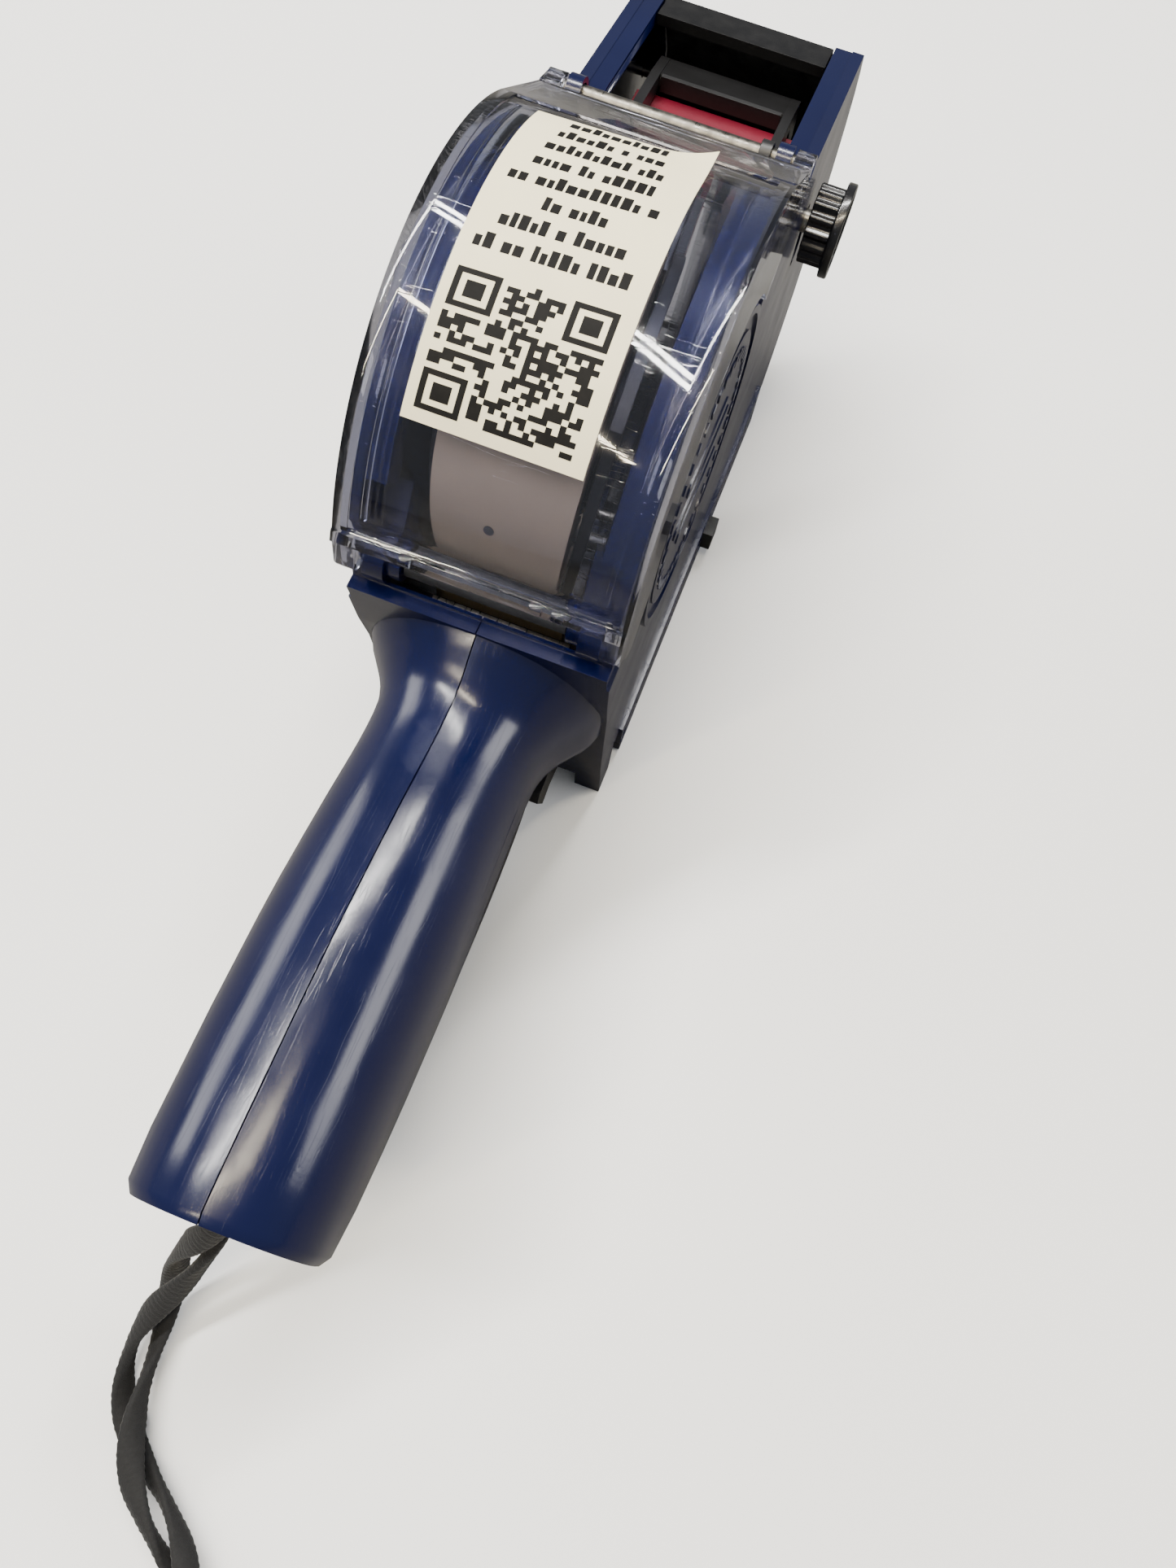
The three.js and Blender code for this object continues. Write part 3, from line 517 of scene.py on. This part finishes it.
def cord_frames(line, route, flat):
    """The cord's thin and wide directions along the line, eased so that it never flips over."""
    marks = path_lengths(route)
    steps = len(line) - 1
    frames = []
    before = None
    for i in range(steps + 1):
        want = marks[-1] * i / steps
        k = max(j for j in range(len(marks)) if marks[j] <= want + TINY)
        k = min(k, len(marks) - 2)
        share = (want - marks[k]) / (marks[k + 1] - marks[k])
        thin_a, thin_b = flat[k], flat[k + 1]
        if thin_a.dot(thin_b) < 0:
            thin_b = -thin_b
        t = (line[min(i + 1, steps)] - line[max(i - 1, 0)]).normalized()
        thin = square_to(thin_a.lerp(thin_b, share), t)
        if before is not None:
            if thin.dot(before) < 0:
                thin = -thin
            thin = square_to((before * TURN_KEPT + thin * TURN_TAKEN).normalized(), t)
        before = thin
        frames.append((thin, t.cross(thin)))
    return frames


def braid_ring(p, thin, wide, s):
    """One ring of the flat braided cord, at the distance s along it."""
    out = []
    phase = 2 * math.pi * s / BRAID_PITCH
    for j in range(CORD_SIDES):
        a = 2 * math.pi * j / CORD_SIDES
        c, d = math.cos(a), math.sin(a)
        x = math.copysign(abs(c) ** CORD_POWER, c) * CORD_WIDE / 2
        z = math.copysign(abs(d) ** CORD_POWER, d) * CORD_THIN / 2
        weave = math.sin(phase + 2 * a) * math.sin(phase - 2 * a)
        across = wide * x * (BRAID_NARROWEST + BRAID_SPREAD * weave)
        out.append((p + across + thin * z * (1 + BRAID_RISE * weave)) * MM)
    return out


def make_lanyard():
    """One flat cord: out along the first strand, round the loop and back along the second."""
    first, out_first = strand(1)
    second, out_second = strand(-1)
    route = [*first, *(Vector(p) for p in LOOP), *reversed(second)]
    flat = [*out_first, *(Vector((0, 0, 1)) for _ in LOOP), *reversed(out_second)]
    steps = int(path_lengths(route)[-1] / CORD_STEP)
    line, long = smooth_line(route, steps)
    points, faces = [], []
    for i, (thin, wide) in enumerate(cord_frames(line, route, flat)):
        points += braid_ring(line[i], thin, wide, long * i / steps)
    for i in range(steps):
        near, far = i * CORD_SIDES, (i + 1) * CORD_SIDES
        for j in range(CORD_SIDES):
            k = (j + 1) % CORD_SIDES
            faces.append((near + j, near + k, far + k, far + j))
    faces.append(tuple(range(CORD_SIDES)))
    last = steps * CORD_SIDES
    faces.append(tuple(reversed(range(last, last + CORD_SIDES))))
    cord = object_of("wrist_cord", points, faces)
    finished(cord, "casing", paints["cord"], angle=60, replaces=["lanyard"])


# ---------- clear cover ----------
CROWN_X, CROWN_Z = -28.8, 71.4
CROWN_R = 44.6
CROWN_IN = 43.1
CROWN_REAR, CROWN_FRONT = 162.0, 58.0  # degrees
CROWN_STEPS = 72
COVER_HALF = 22.65
COVER_BEVEL = 0.14
SKIRT_IN = 21.75
SKIRT_R = CROWN_R - 0.1
SKIRT_REAR = 160
RAIL_IN = 20.3  # the crown between its two side rails is set a little lower
RECESS_R = 44.25
RECESS_OUT = 48
RECESS_REAR, RECESS_FRONT = CROWN_REAR - 1.4, CROWN_FRONT + 2
RIB_SIDES = (18.3, 18.9)
RIB_FRONT, RIB_REAR = 64, 158
RIB_TOP, RIB_FOOT = CROWN_IN + 0.2, CROWN_IN - 0.5
RIB_STEPS = 48
EAR_IN = 19.4
ARM_IN = 19.6
HINGE_X, HINGE_Z = 13.5, 97.0
HINGE_BORE = 1.7
BORE_HALF = 30
CHEEK_R = 2.2  # the side wall round the hinge
BARREL_R = 2.3
HINGE_SIDES = 32
EMBLEM_R = 28.6
NOSE_TIP, NOSE_UNDER = (9.3, 100.4), (8.5, 99.1)
EAR = [
    (-72.2, 79.0),
    (-71.6, 84.0),
    (-70.6, 86.2),
    (-69.4, 85.6),
    (-69.7, 78.4),
    (-70.6, 77.2),
    (-71.6, 77.4),
]
ARM = [(8.6, 98.2), (9.6, 100.5), (13.5, 99.3), (12.0, 97.6)]
LIP = [(-72.2, 84.4), (-71.4, 86.0), (-70.2, 86.5), (-69.5, 85.6), (-70.4, 83.8), (-71.4, 83.6)]
NUB_AT, NUB_R, NUB_SIDES = (-71.6, 85.4), 0.9, 16
NUB_Y = (-9.2, -12.6, 11.0)


def crown(r, a0, a1, steps):
    return arc(CROWN_X, CROWN_Z, r, a0, a1, steps)


def both_sides(outline, low, high):
    """The outline made solid between two distances from the median plane, left and right."""
    return [prism("left", outline, low, high), prism("right", outline, -high, -low)]


def skirt_outline():
    """The cover's side wall, from the crown down to the round badge."""
    return [
        *crown(SKIRT_R, SKIRT_REAR, CROWN_FRONT, 64),
        NOSE_TIP,
        *arc(HINGE_X, HINGE_Z, CHEEK_R, 80, -60, 10),
        (HINGE_X - 1, HINGE_Z - 2.4),
        *crown(EMBLEM_R, 32, 168, 56),
        *arc(-62.4, 76.4, 6.2, 200, 258, 5)[::-1],
        (-69.6, 76.0),
        (-70.4, 77.6),
    ]


def make_cover():
    outside = crown(CROWN_R, CROWN_REAR, CROWN_FRONT, CROWN_STEPS)
    inside = crown(CROWN_IN, CROWN_FRONT, CROWN_REAR, CROWN_STEPS)
    shell = prism("clear_cover", [*outside, NOSE_TIP, NOSE_UNDER, *inside], -COVER_HALF, COVER_HALF)
    recess = [
        *crown(RECESS_R, RECESS_REAR, RECESS_FRONT, CROWN_STEPS),
        *crown(RECESS_OUT, RECESS_FRONT, RECESS_REAR, CROWN_STEPS),
    ]
    boolean(shell, prism("recess", recess, -RAIL_IN, RAIL_IN), "DIFFERENCE")
    rib = [
        *crown(RIB_TOP, RIB_REAR, RIB_FRONT, RIB_STEPS),
        *crown(RIB_FOOT, RIB_FRONT, RIB_REAR, RIB_STEPS),
    ]
    nub = circle(*NUB_AT, NUB_R, NUB_SIDES)
    parts = [
        *both_sides(skirt_outline(), SKIRT_IN, COVER_HALF),
        *both_sides(EAR, EAR_IN, COVER_HALF),
        *both_sides(circle(HINGE_X, HINGE_Z, BARREL_R, HINGE_SIDES), ARM_IN, COVER_HALF),
        *both_sides(ARM, ARM_IN, COVER_HALF),
        *both_sides(rib, *RIB_SIDES),
        prism("lip", LIP, -COVER_HALF, COVER_HALF),
        *(prism("nub", nub, y - NUB_R, y + NUB_R) for y in NUB_Y),
    ]
    for part in parts:
        boolean(shell, part, "UNION")
    bore = circle(HINGE_X, HINGE_Z, HINGE_BORE, HINGE_SIDES)
    boolean(shell, prism("bore", bore, -BORE_HALF, BORE_HALF), "DIFFERENCE")
    bevelled(shell, COVER_BEVEL, angle=40)
    finished(shell, "cover", paints["clear"], angle=30, replaces=["top_cover"])


# ---------- cover sticker ----------
STICKER_LEFT, STICKER_RIGHT = 15.4, -10.95
STICKER_REAR, STICKER_FRONT = 135.7, 65.6  # degrees
STICKER_SKEW = 3.0  # degrees further forward along the right edge
STICKER_THICK = 0.13
STICKER_GAP = 0.04
SHEET_ACROSS, SHEET_ALONG = 26, 70  # cells of the sheet's grid
CURL_RISE = 5.5
CURL_ACROSS, CURL_ALONG = 0.72, 0.86  # shares of the sheet where its front right corner starts to lift
CURL_START = 0.42
CODE_CELLS = 25
CODE_Y = (13.9, -8.6)
CODE_ANGLE = (133.4, 108.8)
FINDER = 7
LINE_ANGLES = (104.6, 69.4)
LINE_WIDTHS = (21.0, 17.0, 8.0, 20.5, 16.5, 16.0, 15.0, 14.0)
LINE_MIDDLE = 2.9
LETTER_TALL = 3.0  # degrees
DASH_WIDE = (0.75, 1.35)
DASH_TALL = (0.68, 0.68, 1.0)  # shares of the full height
WORD_END = 0.16  # the share of dashes that end a word
WORD_GAP, DASH_GAP = 1.3, 0.36
PRINT_LIFT = 0.02
PRINT_THICK = 0.015


def sticker_point(y, angle, lift):
    across = (STICKER_LEFT - y) / (STICKER_LEFT - STICKER_RIGHT)
    along = (STICKER_REAR - angle) / (STICKER_REAR - STICKER_FRONT)
    angle = angle - STICKER_SKEW * across * along
    right = (across - CURL_ACROSS) / (1 - CURL_ACROSS)
    front = (along - CURL_ALONG) / (1 - CURL_ALONG)
    corner = max(0.0, right * 0.5 + front * 0.5 - CURL_START)
    r = RECESS_R + STICKER_GAP + lift + CURL_RISE * corner**2
    a = math.radians(angle)
    return mm(CROWN_X + r * math.cos(a), y, CROWN_Z + r * math.sin(a))


def make_sticker():
    points, faces = [], []
    for lift in (0.0, STICKER_THICK):
        for i in range(SHEET_ALONG + 1):
            for j in range(SHEET_ACROSS + 1):
                y = STICKER_LEFT + (STICKER_RIGHT - STICKER_LEFT) * j / SHEET_ACROSS
                angle = STICKER_REAR + (STICKER_FRONT - STICKER_REAR) * i / SHEET_ALONG
                points.append(sticker_point(y, angle, lift))
    row = SHEET_ACROSS + 1
    layer = row * (SHEET_ALONG + 1)
    for i in range(SHEET_ALONG):
        for j in range(SHEET_ACROSS):
            k = i * row + j
            faces.append((k, k + 1, k + row + 1, k + row))
            faces.append((layer + k, layer + k + row, layer + k + row + 1, layer + k + 1))
    rim = [
        *range(row),
        *(i * row + SHEET_ACROSS for i in range(1, SHEET_ALONG + 1)),
        *(SHEET_ALONG * row + j for j in range(SHEET_ACROSS - 1, -1, -1)),
        *(i * row for i in range(SHEET_ALONG - 1, 0, -1)),
    ]
    for a, b in zip(rim, [*rim[1:], rim[0]]):
        faces.append((a, b, layer + b, layer + a))
    sheet = object_of("sticker_sheet", points, faces)
    finished(sheet, "cover", paints["paper"], angle=50, replaces=["cover_sticker"])


def code_cells(rng):
    """A made-up matrix pattern with three square rings at its corners. It encodes nothing."""
    last = CODE_CELLS - FINDER
    corners = [(0, 0), (0, last), (last, 0)]
    dark = set()
    for row in range(CODE_CELLS):
        for column in range(CODE_CELLS):
            near = any(
                r - 1 <= row <= r + FINDER and c - 1 <= column <= c + FINDER for r, c in corners
            )
            if not near and rng.random() < 0.5:
                dark.add((row, column))
    for r, c in corners:
        for i in range(FINDER):
            for j in range(FINDER):
                ring = min(i, j, FINDER - 1 - i, FINDER - 1 - j)
                if ring != 1:
                    dark.add((r + i, c + j))
    return dark


def dash_cells(rng):
    """Rows of plain dashes, which stand in for printed lines."""
    cells = []
    for i, width in enumerate(LINE_WIDTHS):
        foot = LINE_ANGLES[0] + (LINE_ANGLES[1] - LINE_ANGLES[0]) * i / (len(LINE_WIDTHS) - 1)
        y = LINE_MIDDLE + width / 2
        while y > LINE_MIDDLE - width / 2:
            wide = rng.uniform(*DASH_WIDE)
            tall = LETTER_TALL * rng.choice(DASH_TALL)
            cells.append((y, y - wide, foot - tall, foot))
            y -= wide + (WORD_GAP if rng.random() < WORD_END else DASH_GAP)
    return cells


def make_print():
    """The matrix pattern and the dashes, as thin raised cells on the sticker."""
    rng = random.Random(SEED)
    y0, y1 = CODE_Y
    a0, a1 = CODE_ANGLE
    cells = []
    for row, column in sorted(code_cells(rng)):
        left = y0 + (y1 - y0) * column / CODE_CELLS
        right = y0 + (y1 - y0) * (column + 1) / CODE_CELLS
        low = a1 + (a0 - a1) * row / CODE_CELLS
        high = a1 + (a0 - a1) * (row + 1) / CODE_CELLS
        cells.append((left, right, low, high))
    cells += dash_cells(rng)
    points, faces = [], []
    for left, right, low, high in cells:
        k = len(points)
        for y, a in ((left, high), (right, high), (right, low), (left, low)):
            points.append(sticker_point(y, a, STICKER_THICK + PRINT_LIFT))
        faces.append((k, k + 1, k + 2, k + 3))
    obj = object_of("sticker_print", points, faces)
    solidify = obj.modifiers.new("thick", "SOLIDIFY")
    solidify.thickness = PRINT_THICK * MM
    solidify.offset = 0
    apply_modifiers(obj)
    finished(obj, "cover", paints["print"], angle=50)


# ---------- label strip ----------
ROLL_X, ROLL_Z, ROLL_R = -37.0, 84.0, 26.0
STRIP_THICK = 0.3
STRIP_HALF = 11.0
STRIP_STEPS = 220
WRAP_FROM, WRAP_SWEEP, WRAP_STEPS = 112, 74, 5  # degrees round the roll
WRAP_LIFT, WRAP_LEAVE = 0.2, 0.5
WRAP_LEAVE_BY = 2.5  # steps
STRIP_REST = [
    (-62.4, 74),
    (-62.4, 66),
    (-61.8, 50),
    (-60, 34),
    (-56, 24),
    (-50, 19.6),
    (-40, 18.9),
    (0, 18.9),
    (30, 19.1),
    (55.4, 19.1),
]
DOT_ANGLE = math.radians(171.4)
DOT_Y = 1.2
DOT_R = 0.85
DOT_LIFT = (0.90, 0.97)
DOT_SIDES = 24


def make_strip():
    """The label web leaves the roll, runs down behind it and forward under the print head."""
    start = []
    for i in range(WRAP_STEPS + 1):
        a = math.radians(WRAP_FROM + WRAP_SWEEP * i / WRAP_STEPS)
        r = ROLL_R + WRAP_LIFT + WRAP_LEAVE * min(i / WRAP_LEAVE_BY, 1)
        start.append((ROLL_X + r * math.cos(a), ROLL_Z + r * math.sin(a)))
    path, _ = smooth_line([(x, 0, z) for x, z in [*start, *STRIP_REST]], STRIP_STEPS)
    line = [(p.x, p.z) for p in path]
    sides = []
    for sign in (-1, 1):
        edge = []
        for i, (x, z) in enumerate(line):
            a = line[max(i - 1, 0)]
            b = line[min(i + 1, STRIP_STEPS)]
            long = math.hypot(b[0] - a[0], b[1] - a[1])
            half = sign * STRIP_THICK / 2 / long
            edge.append((x - (b[1] - a[1]) * half, z + (b[0] - a[0]) * half))
        sides.append(edge)
    points = [mm(x, y, z) for edge in sides for y in (-STRIP_HALF, STRIP_HALF) for x, z in edge]
    n = len(line)
    order = [0, 1, 3, 2]
    faces = []
    for i in range(n - 1):
        for a, b in zip(order, [*order[1:], order[0]]):
            faces.append((a * n + i, b * n + i, b * n + i + 1, a * n + i + 1))
    faces.append(tuple(k * n for k in order))
    faces.append(tuple(k * n + n - 1 for k in reversed(order)))
    obj = object_of("label_strip", points, faces)
    finished(obj, "casing", paints["web"], angle=40, replaces=["label_web"])


def make_dot():
    """The small printed mark on the strip, behind the roll."""
    points = []
    for lift in DOT_LIFT:
        r = ROLL_R + lift
        for i in range(DOT_SIDES):
            a = 2 * math.pi * i / DOT_SIDES
            turn = DOT_ANGLE + DOT_R * math.sin(a) / ROLL_R
            y = DOT_Y + DOT_R * math.cos(a)
            points.append(mm(ROLL_X + r * math.cos(turn), y, ROLL_Z + r * math.sin(turn)))
    obj = object_of("strip_mark", points, ring_faces(DOT_SIDES))
    finished(obj, "casing", paints["mark"])


# ---------- small trim ----------
BADGE_FACE = 22.25  # the outer face of the round badge, from the median plane
MARK_SUNK, MARK_RISE = 0.05, 0.28
MARK_BEVEL = 0.07
MARK_COUNT = 40
MARK_SWEEP = 5  # degrees
MARK_OUT, MARK_IN = 20.6, 18.6
BAR_R = 1.5
BARS = ((6.4, 9.0), (0.0, 13.0), (-6.4, 9.0))  # height over the middle, half length
PANEL_EDGE = [(-69.15, 72.1), (-69.15, 72.5), (-68.2, 72.5), (-68.2, 72.1)]
PANEL_EDGE_Y = (-14.0, 8.6)
PANEL_EDGE_BEVEL = 0.1


def make_emblem(side, name):
    """Plain raised dashes and bars on the round badge."""
    foot = side * (BADGE_FACE - MARK_SUNK)
    y0, y1 = sorted((foot, foot + side * MARK_RISE))
    parts = []
    for i in range(MARK_COUNT):
        a = 360 * i / MARK_COUNT
        outline = [*crown(MARK_OUT, a, a + MARK_SWEEP, 2), *crown(MARK_IN, a + MARK_SWEEP, a, 2)]
        parts.append(prism("mark", outline, y0, y1))
    for z, half in BARS:
        outline = [
            *arc(CROWN_X + half, CROWN_Z + z, BAR_R, -90, 90, 8),
            *arc(CROWN_X - half, CROWN_Z + z, BAR_R, 90, 270, 8),
        ]
        parts.append(prism("bar", outline, y0, y1))
    merged = bmesh.new()
    for part in parts:
        merged.from_mesh(part.data)
        bpy.data.objects.remove(part)
    mesh = bpy.data.meshes.new(name)
    merged.to_mesh(mesh)
    merged.free()
    obj = bpy.data.objects.new(name, mesh)
    scene.collection.objects.link(obj)
    bevelled(obj, MARK_BEVEL, segments=1)
    finished(obj, "casing", paints["blue"])


def make_panel_edge():
    """The thin bright strip along the top of the rear panel."""
    obj = bevelled(prism("panel_edge", PANEL_EDGE, *PANEL_EDGE_Y), PANEL_EDGE_BEVEL)
    finished(obj, "casing", paints["steel"])


# ---------- CAD nodes that keep their own shape ----------
SLOT_PAINT = {
    "blue_plastic": "blue",
    "clear_plastic": "clear",
    "black_plastic": "black",
    "gloss_black_plastic": "gloss_black",
    "red_plastic": "red",
    "white_plastic": "white",
    "steel": "steel",
    "rubber": "rubber",
    "ink_felt": "ink",
    "cream_paper": "paper",
    "label_paper": "web",
    "cord_textile": "cord",
}
NODE_PAINT = {
    "base_cover": "base_blue",
    "cover_hinge_shaft": "dark_steel",
    "nose_cap": "rough_black",
}
NODE_BEVEL = {
    "left_shell": 0.06,
    "right_shell": 0.06,
    "trigger_lever": 0.9,
    "digit_knob": 0.25,
    "base_cover": 0.4,
}
PLAIN_BEVEL = 0.15
WELD_DISTANCE = 1e-6  # metres
FLAT_ANGLE = 0.6  # faces that meet at less than this many degrees become one
SHARP_ANGLE = 35


def smooth_by_angle(limit):
    """A node group that shades faces smooth and keeps edges sharper than the limit crisp."""
    group = bpy.data.node_groups.new("smooth_by_angle", "GeometryNodeTree")
    group.interface.new_socket("Geometry", in_out="INPUT", socket_type="NodeSocketGeometry")
    group.interface.new_socket("Geometry", in_out="OUTPUT", socket_type="NodeSocketGeometry")
    start = group.nodes.new("NodeGroupInput")
    end = group.nodes.new("NodeGroupOutput")
    faces = group.nodes.new("GeometryNodeSetShadeSmooth")
    edges = group.nodes.new("GeometryNodeSetShadeSmooth")
    edges.domain = "EDGE"
    angle = group.nodes.new("GeometryNodeInputMeshEdgeAngle")
    less = group.nodes.new("FunctionNodeCompare")
    less.operation = "LESS_THAN"
    less.inputs["B"].default_value = math.radians(limit)
    link = group.links.new
    link(start.outputs[0], faces.inputs["Geometry"])
    link(faces.outputs[0], edges.inputs["Geometry"])
    link(angle.outputs["Unsigned Angle"], less.inputs["A"])
    link(less.outputs[0], edges.inputs["Shade Smooth"])
    link(edges.outputs[0], end.inputs[0])
    return group


def refine(obj, width, group):
    """Rounds a CAD node's edges a little and shades it smooth, without touching its own mesh."""
    weld = obj.modifiers.new("weld", "WELD")
    weld.merge_threshold = WELD_DISTANCE
    flat = obj.modifiers.new("flat", "DECIMATE")
    flat.decimate_type = "DISSOLVE"
    flat.angle_limit = math.radians(FLAT_ANGLE)
    add_bevel(obj, width, 2, SHARP_ANGLE)
    shade = obj.modifiers.new("smooth", "NODES")
    shade.node_group = group
    even = obj.modifiers.new("even", "WEIGHTED_NORMAL")
    even.keep_sharp = True


def paint_cad():
    group = smooth_by_angle(SHARP_ANGLE)
    for entry in frame["record"]["subparts"]:
        node = entry["node"]
        obj = frame["nodes"][node]
        paint = NODE_PAINT.get(node, SLOT_PAINT[entry["material_slot"]])
        obj.data.materials.clear()
        obj.data.materials.append(paints[paint])
        refine(obj, NODE_BEVEL.get(node, PLAIN_BEVEL), group)


# ---------- making, with the camera and the cord first ----------
make_camera()
make_lights()
make_floor()
make_lanyard()
make_cover()
make_sticker()
make_print()
make_strip()
make_dot()
make_emblem(1, "emblem_left")
make_emblem(-1, "emblem_right")
make_panel_edge()
paint_cad()
